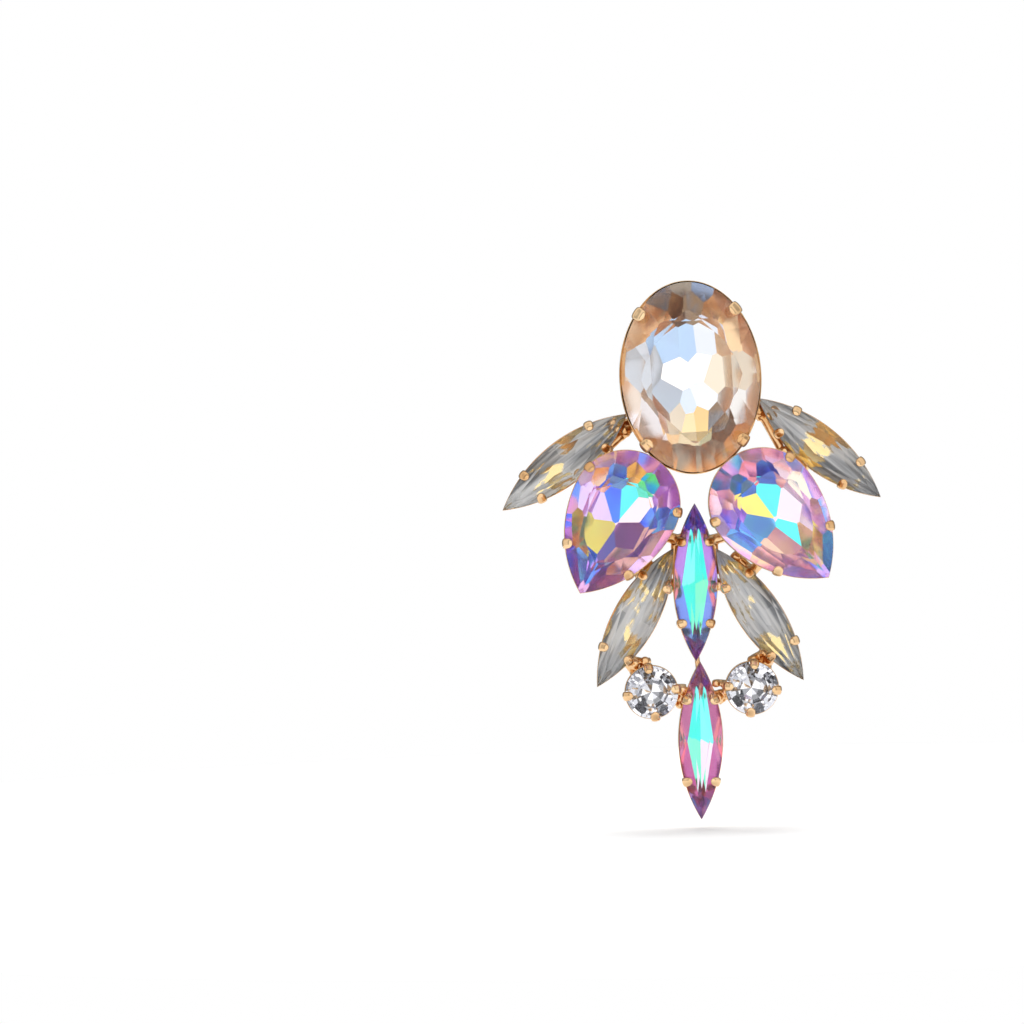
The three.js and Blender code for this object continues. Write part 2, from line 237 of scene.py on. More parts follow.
def foil(name, roughness, cloud):
    """Mirror foil behind a stone. Each flat has its own tone, painted with reflections of light and dark,
    clouded a little across it.
    """
    material, nodes, links, shader = new_material(name)
    tone = nodes.new("ShaderNodeAttribute")
    tone.attribute_name = "facet_tone_and_painted_light"
    place = nodes.new("ShaderNodeTexCoord")
    drift = nodes.new("ShaderNodeTexNoise")
    drift.inputs["Scale"].default_value = 420
    drift.inputs["Detail"].default_value = 1.0
    turned = nodes.new("ShaderNodeHueSaturation")
    swing = nodes.new("ShaderNodeMapRange")
    swing.inputs["To Min"].default_value = 0.5 - cloud / 2
    swing.inputs["To Max"].default_value = 0.5 + cloud / 2
    links.new(place.outputs["Object"], drift.inputs["Vector"])
    links.new(drift.outputs["Fac"], swing.inputs["Value"])
    links.new(swing.outputs["Result"], turned.inputs["Hue"])
    links.new(tone.outputs["Color"], turned.inputs["Color"])
    links.new(turned.outputs["Color"], shader.inputs["Base Color"])
    shader.inputs["Metallic"].default_value = 1.0
    shader.inputs["Roughness"].default_value = roughness
    return material


bm = cut_stone(oval, oval_crown, oval_facets, oval_tones, "white", "cream")
bm.transform(on_face(oval_place))
oval_stone = finished("champagne_oval", bm, crown_glass("champagne_glass", (252, 246, 240)),
                      foil("champagne_foil", roughness=0.13, cloud=0.02))
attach(oval_stone, "root")
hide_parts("oval_stone")

# The two pears: lilac crystal glass with an iridescent coating. Each foiled flat is painted its own colour,
# for the coating's colours and as painted reflections of light and dark. Their round heads lie under the oval
# and their points spread down and out.
pear = {
    "half_width": 5.1, "half_length": 7.3, "crown": 1.9, "pavilion": 2.6, "shape": "pear",
    "lip": 0.17, "cover": 0.09, "claw_at": 0.52, "claw_width": 1.0, "claw_slope": 1.2,
}
pear_places = {"left": (-7.63, -13.99, 4.15, -28.8), "right": (8.02, -13.89, 4.15, 39.5)}
pear_crown = [
    (1.0, 0.0, 0.78, 0.58, [-50, -30, -8, 14, 38, 62, 90, 118, 142, 166, 188, 210, 230]),
    (0.82, 0.46, 0.6, 1.0, [-44, -12, 26, 64, 116, 154, 192, 224]),
    (0.7, 0.84, 0.56, 1.0, [-58, 2, 46, 90, 134, 178, 238]),
    (0.98, 0.0, 0.74, 1.0, [270]),
]
pear_tones = {
    "cyan": (96, 240, 240), "azure": (120, 192, 255), "blue": (84, 132, 244), "violet": (196, 160, 252),
    "lavender": (226, 208, 254), "mauve": (236, 200, 238), "plum": (150, 100, 156), "rose": (246, 184, 206),
    "blush": (255, 234, 244), "lemon": (255, 240, 130), "cream": (255, 246, 222), "peach": (255, 218, 188),
    "clay": (232, 184, 174), "teal": (96, 226, 214), "slate": (96, 90, 150),
}
pear_facets = {
    "right": [
        (0.36, -5, "blush"), (0.38, 60, "cyan"), (0.4, 116, "lemon"), (0.4, 170, "azure"),
        (0.46, 226, "clay"), (0.34, 284, "cyan"),
        (0.62, 0, "cream"), (0.7, 30, "blush"), (0.62, 54, "blue"), (0.7, 76, "rose"),
        (0.6, 98, "blue"), (0.7, 128, "blush"), (0.62, 152, "violet"), (0.68, 184, "azure"),
        (0.7, 208, "peach"), (0.62, 236, "clay"), (0.66, 270, "lavender"), (0.58, 310, "lemon"),
        (0.68, 332, "blush"),
        (0.88, 14, "lavender"), (0.84, 40, "mauve"), (0.88, 64, "blush"), (0.86, 88, "mauve"),
        (0.84, 110, "lavender"), (0.88, 138, "blush"), (0.84, 164, "lavender"), (0.88, 188, "blush"),
        (0.86, 206, "peach"), (0.88, 226, "blush"), (0.9, 270, "lavender"), (0.86, 314, "cyan"),
        (0.9, 334, "blush"), (0.84, 352, "mauve"),
    ],
    "left": [
        (0.36, 218, "lemon"), (0.42, 92, "cyan"), (0.42, 52, "blush"), (0.38, 134, "blue"),
        (0.4, 174, "lavender"), (0.4, 296, "slate"), (0.38, 342, "plum"),
        (0.62, 22, "azure"), (0.7, 46, "blush"), (0.62, 72, "teal"), (0.68, 98, "lemon"),
        (0.62, 122, "azure"), (0.68, 148, "peach"), (0.62, 178, "lavender"), (0.64, 204, "lemon"),
        (0.68, 234, "azure"), (0.62, 266, "violet"), (0.66, 300, "plum"), (0.6, 322, "clay"),
        (0.7, 350, "clay"),
        (0.88, 14, "azure"), (0.84, 40, "mauve"), (0.88, 64, "blush"), (0.86, 90, "mauve"),
        (0.84, 114, "blush"), (0.88, 140, "lavender"), (0.86, 166, "blush"), (0.88, 188, "lavender"),
        (0.86, 206, "violet"), (0.88, 226, "violet"), (0.9, 270, "mauve"), (0.86, 314, "clay"),
        (0.9, 334, "blush"), (0.86, 352, "rose"),
    ],
}
lilac_glass = crown_glass("lilac_glass", (252, 244, 252))
iridescent_and_painted_reflection_foil = foil("iridescent_and_painted_reflection_foil", roughness=0.12, cloud=0.05)
for side, place in pear_places.items():
    bm = cut_stone(pear, pear_crown, pear_facets[side], pear_tones, "blush", "blush")
    bm.transform(on_face(place))
    pear_stone = finished(f"lilac_pear_{side}", bm, lilac_glass, iridescent_and_painted_reflection_foil)
    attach(pear_stone, "root")
    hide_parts(f"pear_stone_{side}")

# The four leaves: narrow navettes of grey crystal glass. Their foil has a painted sheen in lengthwise streaks,
# and painted reflections of the gold setting in patches that show through the glass. Two spread like wings
# beside the oval, two hang under the pears.
navette = {
    "half_width": 2.0, "half_length": 7.5, "crown": 0.95, "pavilion": 1.5, "shape": "pointed",
    "lip": 0.17, "cover": 0.08, "claw_at": 0.53, "claw_width": 0.9, "claw_slope": 1.07,
}
leaf_places = {
    "outer_leaf_stone_left": (-12.29, -7.82, 2.15, -53.8),
    "outer_leaf_stone_right": (12.34, -7.09, 2.15, 49.6),
    "inner_leaf_stone_left": (-5.91, -23.07, 2.15, -30.3),
    "inner_leaf_stone_right": (6.14, -23.07, 2.15, 32.2),
}
pointed_crown = [
    (1.0, 0.0, 0.62, 1.0, [13, 167, 193, 347]),
    (1.0, 0.0, 0.78, 1.0, [26, 154, 206, 334]),
    (1.0, 0.0, 0.74, 1.0, [0, 180]),
]
# The flats' greys are painted light and shade: lighter and darker flats side by side.
leaf_facets = [
    (0.1, 0, "ash"), (0.1, 180, "smoke"), (0.35, 90, "ash"), (0.35, 270, "smoke"),
    (0.5, 8, "smoke"), (0.5, 172, "ash"), (0.5, 188, "smoke"), (0.5, 352, "ash"),
    (0.8, 18, "slate"), (0.8, 162, "smoke"), (0.8, 198, "slate"), (0.8, 342, "smoke"),
]
leaf_tones = {"ash": (240, 242, 246), "smoke": (184, 186, 190), "slate": (128, 129, 133)}


def foil_with_painted_sheen():
    """Grey foil with a painted sheen in lengthwise streaks, and painted reflections of gold in patches drawn
    out along the stone.
    """
    material, nodes, links, shader = new_material("grey_foil_painted_sheen_and_gold")
    plan = nodes.new("ShaderNodeUVMap")
    plan.uv_map = "stone_plan"
    stretch = nodes.new("ShaderNodeMapping")
    stretch.inputs["Scale"].default_value = (0.85, 0.05, 1.0)
    # Lengthwise streaks of light and dark grey paint a sheen along the stone.
    streaks = nodes.new("ShaderNodeTexNoise")
    streaks.inputs["Scale"].default_value = 1.4
    streaks.inputs["Detail"].default_value = 2.5
    greys = nodes.new("ShaderNodeValToRGB")
    dark, light = greys.color_ramp.elements
    dark.position, dark.color = 0.36, (*dye(112, 114, 118), 1)
    light.position, light.color = 0.62, (*dye(255, 255, 255), 1)
    tone = nodes.new("ShaderNodeAttribute")
    tone.attribute_name = "facet_tone_and_painted_light"
    shaded = nodes.new("ShaderNodeMix")
    shaded.data_type, shaded.blend_type = "RGBA", "OVERLAY"
    shaded.inputs[0].default_value = 0.6
    draw_out = nodes.new("ShaderNodeMapping")
    draw_out.inputs["Scale"].default_value = (1.25, 0.5, 1.0)
    # Patches of painted gold reflection, metallic where they show.
    patches = nodes.new("ShaderNodeTexNoise")
    patches.inputs["Scale"].default_value = 0.55
    patches.inputs["Detail"].default_value = 3.0
    edge = nodes.new("ShaderNodeValToRGB")
    edge.color_ramp.elements[0].position, edge.color_ramp.elements[1].position = 0.53, 0.58
    painted_gold_reflection = nodes.new("ShaderNodeMix")
    painted_gold_reflection.data_type = "RGBA"
    painted_gold_reflection.inputs[7].default_value = (*dye(255, 228, 164), 1)
    links.new(plan.outputs["UV"], stretch.inputs["Vector"])
    links.new(stretch.outputs["Vector"], streaks.inputs["Vector"])
    links.new(plan.outputs["UV"], draw_out.inputs["Vector"])
    links.new(draw_out.outputs["Vector"], patches.inputs["Vector"])
    links.new(streaks.outputs["Fac"], greys.inputs["Fac"])
    links.new(greys.outputs["Color"], shaded.inputs[6])
    links.new(tone.outputs["Color"], shaded.inputs[7])
    links.new(patches.outputs["Fac"], edge.inputs["Fac"])
    links.new(edge.outputs["Color"], painted_gold_reflection.inputs[0])
    links.new(shaded.outputs[2], painted_gold_reflection.inputs[6])
    links.new(painted_gold_reflection.outputs[2], shader.inputs["Base Color"])
    links.new(edge.outputs["Color"], shader.inputs["Metallic"])
    shader.inputs["Roughness"].default_value = 0.22
    return material


grey_glass = crown_glass("grey_glass", (246, 247, 248))
grey_foil = foil_with_painted_sheen()
# Each leaf takes its own stretch of the pattern.
pattern_step = Vector((13.7, 5.3))
for i, (node, place) in enumerate(leaf_places.items()):
    bm = cut_stone(navette, pointed_crown, leaf_facets, leaf_tones, "ash", "smoke")
    plan = bm.loops.layers.uv["stone_plan"]
    for face in bm.faces:
        for loop in face.loops:
            loop[plan].uv = loop[plan].uv + pattern_step * i
    bm.transform(on_face(place))
    leaf = finished(node.replace("_stone", "_crystal"), bm, grey_glass, grey_foil)
    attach(leaf, "root")
    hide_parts(node)

# The two middle navettes, one above the other, of iridescent glass with a narrow rhomb for a table. Seen
# through the table the foil is painted turquoise, a painted reflection of the coated table, and the flanks'
# foil is painted from violet and blue to wine, as painted reflections of the coating.
middle_places = {
    "centre_navette_stone": (0.0, -19.83, 2.15, -1.0),
    "drop_navette_stone": (0.10, -35.12, 2.15, -1.0),
}
middle_tones = {
    "turquoise": (70, 236, 222), "aqua": (130, 246, 240), "mint": (130, 242, 206), "violet": (200, 176, 250),
    "azure": (130, 186, 255), "wine": (214, 144, 176), "mauve": (230, 194, 224), "coral": (255, 182, 168),
    "blush": (255, 222, 230), "rose": (240, 140, 156), "pearl": (244, 226, 244),
}
middle_facets = {
    "centre_navette_stone": [
        (0.1, 9, "turquoise"), (0.12, 171, "aqua"), (0.1, 189, "turquoise"), (0.12, 351, "mint"),
        (0.66, 8, "mauve"), (0.66, 171, "violet"), (0.66, 191, "azure"), (0.66, 351, "mauve"),
        (0.8, 180, "coral"), (0.82, 0, "mauve"), (1.3, 27, "violet"), (1.3, 153, "violet"), (1.3, 207, "mauve"),
        (1.3, 333, "blush"),
    ],
    "drop_navette_stone": [
        (0.12, 9, "aqua"), (0.1, 171, "turquoise"), (0.12, 189, "mint"), (0.1, 351, "pearl"),
        (0.66, 8, "mauve"), (0.66, 171, "wine"), (0.66, 191, "rose"), (0.66, 351, "violet"),
        (0.8, 180, "coral"), (0.82, 0, "blush"), (1.3, 27, "mauve"), (1.3, 153, "mauve"), (1.3, 207, "blush"),
        (1.3, 333, "violet"),
    ],
}
rhomb_crown = [
    (1.0, 0.0, 0.35, 1.0, [10, 170, 190, 350]),
    (1.0, 0.0, 0.56, 1.0, [0, 180]),
    (1.0, 0.0, 0.82, 1.0, [27, 153, 207, 333]),
]
rainbow_glass = crown_glass("rainbow_glass", (246, 250, 252))
for node, place in middle_places.items():
    bm = cut_stone(navette, rhomb_crown, middle_facets[node], middle_tones, "turquoise", "mauve")
    bm.transform(on_face(place))
    middle = finished(node.replace("_stone", "_crystal"), bm, rainbow_glass, iridescent_and_painted_reflection_foil)
    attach(middle, "root")
    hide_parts(node)

# The two round stones beside the drop: clear crystal glass over silver foil. Their foil's flats are painted
# light and dark by turns, like the wedges of a pie: painted reflections of light and dark.
round_cut = {
    "half_width": 2.45, "half_length": 2.45, "crown": 0.95, "pavilion": 1.9, "shape": "ellipse",
    "lip": 0.17, "cover": 0.09, "claw_at": 0.7071, "claw_width": 0.9, "claw_slope": 1.12,
}
round_places = {"left": (-4.54, -30.29, 2.55, 52.0), "right": (5.18, -30.14, 2.55, 39.0)}
round_crown = [
    (1.0, 0.0, 0.8, 0.6, [22.5 * k + 11.25 for k in range(16)]),
    (0.84, 0.5, 0.56, 1.0, [45 * k + 22.5 for k in range(8)]),
]
silver_tones = {
    "white": (252, 252, 254), "silver": (216, 217, 222), "grey": (150, 151, 156), "dark": (84, 84, 90),
}
# Each ring of the pavilion: its steepness, its first azimuth and its tones, spread evenly and anticlockwise.
round_rings = [
    (0.3, 8, "white grey silver white grey white silver grey white".split()),
    (0.62, 20, "white grey white silver white dark white grey white silver grey".split()),
    (0.86, 0, ["white", "silver", "white", "grey"] * 4),
]
round_facets = [
    (share, first + 360 * k / len(tones), tone)
    for share, first, tones in round_rings for k, tone in enumerate(tones)
]
clear_glass = crown_glass("clear_glass", (252, 252, 254))
silver_foil = foil("silver_foil", roughness=0.06, cloud=0.0)
for side, place in round_places.items():
    bm = cut_stone(round_cut, round_crown, round_facets, silver_tones, "white", "silver", corners=64)
    bm.transform(on_face(place))
    round_stone = finished(f"clear_round_{side}", bm, clear_glass, silver_foil)
    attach(round_stone, "root")
    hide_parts(f"round_stone_{side}")

# The settings: cups stamped from sheet brass and plated in light rose gold. Each has a rounded rim and four
# claws, bent over the girdle onto the crown.
cup_wall = 0.45
rim_under_girdle = 0.14
floor_under_stone = 0.2
back_under_stone = 0.65
floor_share = 0.64
claw_thickness = 0.42
crease = math.radians(42)


def rose_gold(name, roughness, lumps):
    """Polished light rose-gold plating, with the unevenness that stamping and soldering leave."""
    material, nodes, links, shader = new_material(name)
    place = nodes.new("ShaderNodeTexCoord")
    cloud = nodes.new("ShaderNodeTexNoise")
    cloud.inputs["Scale"].default_value = 260
    cloud.inputs["Detail"].default_value = 3.0
    colour = nodes.new("ShaderNodeValToRGB")
    deep, pale = colour.color_ramp.elements
    deep.position, deep.color = 0.25, (*dye(204, 152, 96), 1)
    pale.position, pale.color = 0.75, (*dye(244, 212, 168), 1)
    rough = nodes.new("ShaderNodeMapRange")
    rough.inputs["To Min"].default_value = roughness * 0.6
    rough.inputs["To Max"].default_value = roughness * 1.4
    fine = nodes.new("ShaderNodeTexNoise")
    fine.inputs["Scale"].default_value = 900
    fine.inputs["Detail"].default_value = 2.0
    bump = nodes.new("ShaderNodeBump")
    bump.inputs["Strength"].default_value = lumps
    bump.inputs["Distance"].default_value = 0.2 * mm
    links.new(place.outputs["Object"], cloud.inputs["Vector"])
    links.new(place.outputs["Object"], fine.inputs["Vector"])
    links.new(cloud.outputs["Fac"], colour.inputs["Fac"])
    links.new(colour.outputs["Color"], shader.inputs["Base Color"])
    links.new(cloud.outputs["Fac"], rough.inputs["Value"])
    links.new(rough.outputs["Result"], shader.inputs["Roughness"])
    links.new(fine.outputs["Fac"], bump.inputs["Height"])
    links.new(bump.outputs["Normal"], shader.inputs["Normal"])
    shader.inputs["Metallic"].default_value = 1.0
    return material


def next_ring(bm, edges, kind, grow, share, height):
    """Draws the wall of a cup on from a ring of edges to the next ring."""
    turn = bm.verts.layers.float["turn"]
    made = bmesh.ops.extrude_edge_only(bm, edges=edges)["geom"]
    for v in made:
        if isinstance(v, bmesh.types.BMVert):
            x, y = outline_point(kind, v[turn], grow)
            v.co = Vector((x * share, y * share, height))
    ring = {v for v in made if isinstance(v, bmesh.types.BMVert)}
    return [e for e in made if isinstance(e, bmesh.types.BMEdge) and set(e.verts) <= ring]


def cup(kind, corners):
    """A cup about its stone's girdle: floor, wall, rounded rim, inner wall and inner floor."""
    bm = bmesh.new()
    rim = -girdle / 2 - rim_under_girdle
    back = -kind["pavilion"] - back_under_stone
    lip, inside = kind["lip"], -cup_wall
    outline_face(bm, kind, corners, grow=lip, share=0.6, height=back)
    ring = bm.edges[:]
    # The inner wall starts under the pavilion, which near the girdle falls at 1.75 times its mean slope.
    fall = 1.75 * kind["pavilion"] * (kind["cover"] - inside) / kind["half_width"]
    seat = -girdle / 2 - fall - 0.1
    # Each ring of the cup: its growth past the outline, its share of that outline, and its height.
    for grow, share, height in (
        (lip, floor_share, back + 0.06), (lip, 0.99, rim - 0.66), (lip, 1.0, rim - 0.56),
        (lip, 1.0, rim - 0.06), (lip - 0.02, 1.0, rim - 0.01), (lip - 0.05, 1.0, rim),
        (inside + 0.05, 1.0, seat), (inside, 1.0, seat - 0.06),
        (inside, floor_share, -kind["pavilion"] - floor_under_stone),
    ):
        ring = next_ring(bm, ring, kind, grow, share, height)
    bmesh.ops.contextual_create(bm, geom=ring)
    return bm


def claw(bm, kind, side, end):
    """A claw: a rounded strip, drawn up the wall, over the girdle and onto the crown, with a rounded end."""
    y = end * kind["claw_at"] * kind["half_length"]
    turns = [k * math.pi / 720 for k in range(1440)]
    near = min((t for t in turns if math.copysign(1, math.cos(t)) == side),
               key=lambda t: abs(outline_point(kind, t, 0)[1] - y))
    step = 0.004
    a, b = outline_point(kind, near - step, 0), outline_point(kind, near + step, 0)
    out = Vector((b[1] - a[1], a[0] - b[0], 0)).normalized()
    here = Vector((*outline_point(kind, near, 0), 0))
    across = Vector((0, 0, 1)).cross(out)
    slope, lip = kind["claw_slope"], kind["lip"]
    half, thick = kind["claw_width"] / 2, claw_thickness / 2
    over = girdle / 2 + 0.1 + slope * kind["cover"] + thick
    # Along the claw: its reach from the stone's edge, its height, and its shares of width and thickness.
    route = [
        (lip - 0.05, -0.86, 0.7, 0.6), (lip + 0.02, -0.7, 0.86, 0.9), (lip + 0.02, -0.3, 0.92, 1.0),
        (lip + 0.02, over - 0.2, 1.0, 1.0), (lip - 0.04, over - 0.05, 1.0, 1.03),
        (lip - 0.16, over + 0.05, 1.0, 1.06), (-0.12, over + slope * 0.12, 1.0, 1.08),
        (-0.25, over + slope * 0.24, 0.96, 1.06),
        (-0.36, over + slope * 0.33, 0.86, 0.98), (-0.45, over + slope * 0.4, 0.7, 0.84),
        (-0.52, over + slope * 0.44, 0.5, 0.62), (-0.57, over + slope * 0.46, 0.28, 0.36),
        (-0.59, over + slope * 0.465, 0.1, 0.14),
    ]
    ring = bmesh.ops.create_circle(bm, cap_ends=True, segments=16, radius=1.0)["verts"]
    edges = list({e for v in ring for e in v.link_edges})
    start = [Vector(v.co) for v in ring]
    for k, (reach, height, wide, deep) in enumerate(route):
        before, after = route[max(0, k - 1)], route[min(len(route) - 1, k + 1)]
        along = (out * (after[0] - before[0]) + Vector((0, 0, after[1] - before[1]))).normalized()
        outward = across.cross(along).normalized()
        if k:
            made = bmesh.ops.extrude_edge_only(bm, edges=edges)["geom"]
            new = [v for v in made if isinstance(v, bmesh.types.BMVert)]
            edges = [e for e in made if isinstance(e, bmesh.types.BMEdge) and all(v in new for v in e.verts)]
            onward = {min(range(len(ring)), key=lambda i: (ring[i].co - v.co).length): v for v in new}
            ring = [onward[i] for i in range(len(start))]
        for v, s in zip(ring, start):
            flat = math.copysign(abs(s.x) ** 0.9, s.x) * half * wide
            round_part = across * flat + outward * (s.y * thick * deep)
            v.co = here + out * reach + Vector((0, 0, height)) + round_part
    bmesh.ops.contextual_create(bm, geom=edges)


def settings(name, kind, places, corners, metal):
    """One piece of metal for like settings: their cups and claws."""
    joined = bmesh.new()
    for place in places:
        bm = cup(kind, corners)
        for edge in bm.edges:
            edge.smooth = edge.calc_face_angle(0) < crease
        for side in (-1, 1):
            for end in (-1, 1):
                claw(bm, kind, side, end)
        bm.transform(on_face(place))
        mesh = bpy.data.meshes.new("one_setting")
        bm.to_mesh(mesh)
        bm.free()
        joined.from_mesh(mesh)
        bpy.data.meshes.remove(mesh)
    bmesh.ops.recalc_face_normals(joined, faces=joined.faces)
    for face in joined.faces:
        face.smooth = True
    return finished(name, joined, metal)


plating = rose_gold("rose_gold_plating", 0.16, 0.12)
for name, kind, places, corners in (
    ("oval_setting", oval, [oval_place], 96),
    ("pear_settings", pear, list(pear_places.values()), 80),
    ("leaf_settings", navette, list(leaf_places.values()), 64),
    ("middle_settings", navette, list(middle_places.values()), 64),
    ("round_settings", round_cut, list(round_places.values()), 48),
):
    setting = settings(name, kind, places, corners, plating)
    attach(setting, "root")
    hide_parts("gold_frame")

# The solder bridges: short round wires between the cups, drowned in solder that has run into uneven lumps.
# Rods and balls are heaped up where the joints are, roughened, and melted into one skin.
wire_height = 0.75
lump_height = 0.95
run_height = 1.0
drop_height = 1.35


def spot(place, kind, across, along):
    """A point on the face under a setting, in shares of its half width and half length."""
    x, y, lift, turn = place
    local = Vector((across * kind["half_width"], along * kind["half_length"], 0))
    return place, kind, Vector((x, y, 0)) + Matrix.Rotation(math.radians(turn), 3, "Z") @ local


# Each bridge: the spots it joins and its thickness.
bridge_ends = []
for side, sign in (("left", -1), ("right", 1)):
    outer, inner = leaf_places[f"outer_leaf_stone_{side}"], leaf_places[f"inner_leaf_stone_{side}"]
    head, clear = pear_places[side], round_places[side]
    centre, drop = middle_places["centre_navette_stone"], middle_places["drop_navette_stone"]
    bridge_ends += [
        (spot(oval_place, oval, 0.55 * sign, -0.35), spot(outer, navette, 0, 0.6), 1.05),
        (spot(oval_place, oval, 0.3 * sign, -0.6), spot(head, pear, 0, 0.3), 1.05),
        (spot(head, pear, 0.1 * sign, 0.2), spot(outer, navette, 0, 0), 1.05),
        (spot(head, pear, -0.5 * sign, 0.1), spot(centre, navette, 0, 0.5), 1.05),
        (spot(head, pear, -0.2 * sign, -0.25), spot(inner, navette, 0, 0.45), 1.05),
        (spot(centre, navette, 0, -0.03), spot(inner, navette, 0, 0.47), 1.05),
        (spot(clear, round_cut, 0, 0), spot(inner, navette, 0, -0.47), 1.05),
        (spot(clear, round_cut, 0, 0), spot(drop, navette, 0, 0.52), 1.05),
    ]
bridge_ends.append((spot(centre, navette, 0, -0.75), spot(drop, navette, 0, 0.75), 0.5))


def within(place, kind, share, point):
    """True where a point of the face lies inside a share of a cup's outline."""
    x, y, lift, turn = place
    local = Matrix.Rotation(math.radians(-turn), 3, "Z") @ (point - Vector((x, y, 0)))
    wide = [outline_point(kind, k * math.pi / 90, kind["lip"]) for k in range(180)]
    beside = [abs(a) for a, b in wide if abs(b * share - local.y) < kind["half_length"] * 0.05]
    return bool(beside) and abs(local.x) < share * min(beside)


def ball(bm, x, y, radius, height):
    """A drop of solder."""
    here = Matrix.Translation((x, y, height))
    bmesh.ops.create_icosphere(bm, subdivisions=3, radius=radius, matrix=here)


def rod(bm, start, end, radius, height):
    """A straight length of wire or run solder."""
    start, end = Vector((*start[:2], 0)), Vector((*end[:2], 0))
    middle = (start + end) / 2
    turn = Vector((1, 0, 0)).rotation_difference(end - start).to_matrix().to_4x4()
    here = Matrix.Translation((middle.x, middle.y, height)) @ turn @ Matrix.Rotation(math.pi / 2, 4, "Y")
    bmesh.ops.create_cone(bm, cap_ends=True, segments=16, radius1=radius, radius2=radius,
                          depth=(end - start).length, matrix=here)


# Where solder has run in a line: its two ends and its radius. Where it has dropped: its middle and its radius.
solder_runs = [
    ((6.37, -2.64), (7.0, -4.2), 0.5), ((7.1, -4.01), (8.84, -7.34), 0.42),
    ((8.84, -7.34), (11.12, -8.85), 0.45),
    ((-5.65, -4.33), (-6.84, -5.55), 0.5), ((-6.84, -5.55), (-8.52, -6.96), 0.42),
    ((-2.23, -20.07), (-3.29, -20.13), 0.55), ((1.63, -20.17), (2.89, -20.21), 0.55),
    ((-1.92, -16.12), (-2.1, -19.01), 0.3), ((2.03, -16.23), (2.05, -19.12), 0.3),
    ((3.75, -17.05), (5.44, -18.73), 0.45), ((-5.37, -18.63), (-4.18, -17.5), 0.4),
    ((-6.86, -27.08), (-5.23, -27.42), 0.45), ((-5.23, -27.42), (-4.45, -27.24), 0.35),
    ((5.39, -27.42), (6.76, -26.69), 0.45), ((6.76, -26.69), (7.12, -27.66), 0.4),
    ((-1.53, -29.64), (-1.57, -31.19), 0.42), ((1.66, -29.54), (2.82, -29.67), 0.35),
    ((1.73, -30.41), (2.38, -31.59), 0.4),
]
solder_drops = [
    (6.64, -3.32, 0.62), (9.03, -7.44, 0.62), (11.02, -8.75, 0.55), (-6.35, -4.99, 0.6),
    (-8.23, -6.77, 0.6), (-2.71, -20.05, 0.72), (1.82, -20.28, 0.6), (2.69, -20.2, 0.6),
    (4.02, -17.44, 0.5), (5.24, -18.83, 0.55), (-5.17, -18.34, 0.5), (-6.66, -26.89, 0.6),
    (-6.1, -27.58, 0.5), (-5.04, -27.33, 0.5), (5.39, -27.52, 0.55), (6.56, -26.78, 0.6),
    (7.03, -27.47, 0.5), (-1.45, -30.22, 0.5), (-1.87, -31.66, 0.35), (1.75, -29.64, 0.45),
    (2.62, -29.76, 0.45), (1.91, -31.09, 0.5),
]
bm = bmesh.new()
hidden = 0.8
for (place_a, kind_a, a), (place_b, kind_b, b), thickness in bridge_ends:
    steps = [a.lerp(b, k / 200) for k in range(201)]
    free = [p for p in steps
            if not within(place_a, kind_a, hidden, p) and not within(place_b, kind_b, hidden, p)]
    rod(bm, free[0], free[-1], thickness / 2, wire_height)
    for p in (free[0].lerp(free[-1], 0.12), free[0].lerp(free[-1], 0.88)):
        ball(bm, p.x, p.y, thickness * 0.66, lump_height)
for start, end, radius in solder_runs:
    rod(bm, start, end, radius, run_height)
for x, y, radius in solder_drops:
    ball(bm, x, y, radius, drop_height)
roughness_size, roughness_depth = 1.6, 0.1
noise.seed_set(7)
for v in bm.verts:
    v.co += noise.noise_vector(v.co * roughness_size) * roughness_depth
bm.transform(on_face((0, 0, 0, 0)))
solder = rose_gold("run_solder", 0.2, 0.3)
loose = finished("loose_solder", bm, solder)
run = loose.modifiers.new("run_together", "REMESH")
run.mode, run.voxel_size, run.use_smooth_shade = "VOXEL", 0.1 * mm, True
soft = loose.modifiers.new("soft", "SMOOTH")
soft.factor, soft.iterations = 0.5, 4
cooled = loose.evaluated_get(bpy.context.evaluated_depsgraph_get())
bm = bmesh.new()
bm.from_mesh(cooled.to_mesh())
cooled.to_mesh_clear()
bpy.data.objects.remove(loose)
for face in bm.faces:
    face.smooth = True
bridges = finished("solder_bridges", bm, solder)
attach(bridges, "root")
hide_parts("gold_frame")

# The ear post: a pin turned from wire, with a groove for its clutch and a rounded tip, on a pad behind the
# oval's cup. A ring of solder closes the pad to the cup. The profile gives radius and height, from the tip.
profile = [
    (0, -11.85), (0.14, -11.83), (0.3, -11.68), (0.42, -11.42), (0.45, -11.2), (0.45, -10.1),
    (0.36, -9.95), (0.36, -9.7), (0.45, -9.55), (0.45, -1.05), (0.5, -0.92), (0.62, -0.85),
    (2.3, -0.85), (2.44, -0.8), (2.5, -0.68), (2.5, -0.42), (2.44, -0.3), (2.3, -0.25), (2.06, -0.2),
    (1.94, -0.1), (1.9, 0.04), (0, 0.04),
]
bm = bmesh.new()
corners = [bm.verts.new((radius, 0, height)) for radius, height in profile]
for a, b in zip(corners, corners[1:]):
    bm.edges.new((a, b))
bmesh.ops.spin(bm, geom=bm.verts[:] + bm.edges[:], cent=(0, 0, 0), axis=(0, 0, 1),
               angle=2 * math.pi, steps=48, use_merge=True)
bmesh.ops.remove_doubles(bm, verts=bm.verts, dist=1e-4)
bmesh.ops.recalc_face_normals(bm, faces=bm.faces)
for face in bm.faces:
    face.smooth = True
pad_place = (0, 2.5, 0, 0)
bm.transform(on_face(pad_place))
post = finished("ear_pin", bm, plating)
post.data.set_sharp_from_angle(angle=math.radians(40))
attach(post, "root")
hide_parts("ear_post")

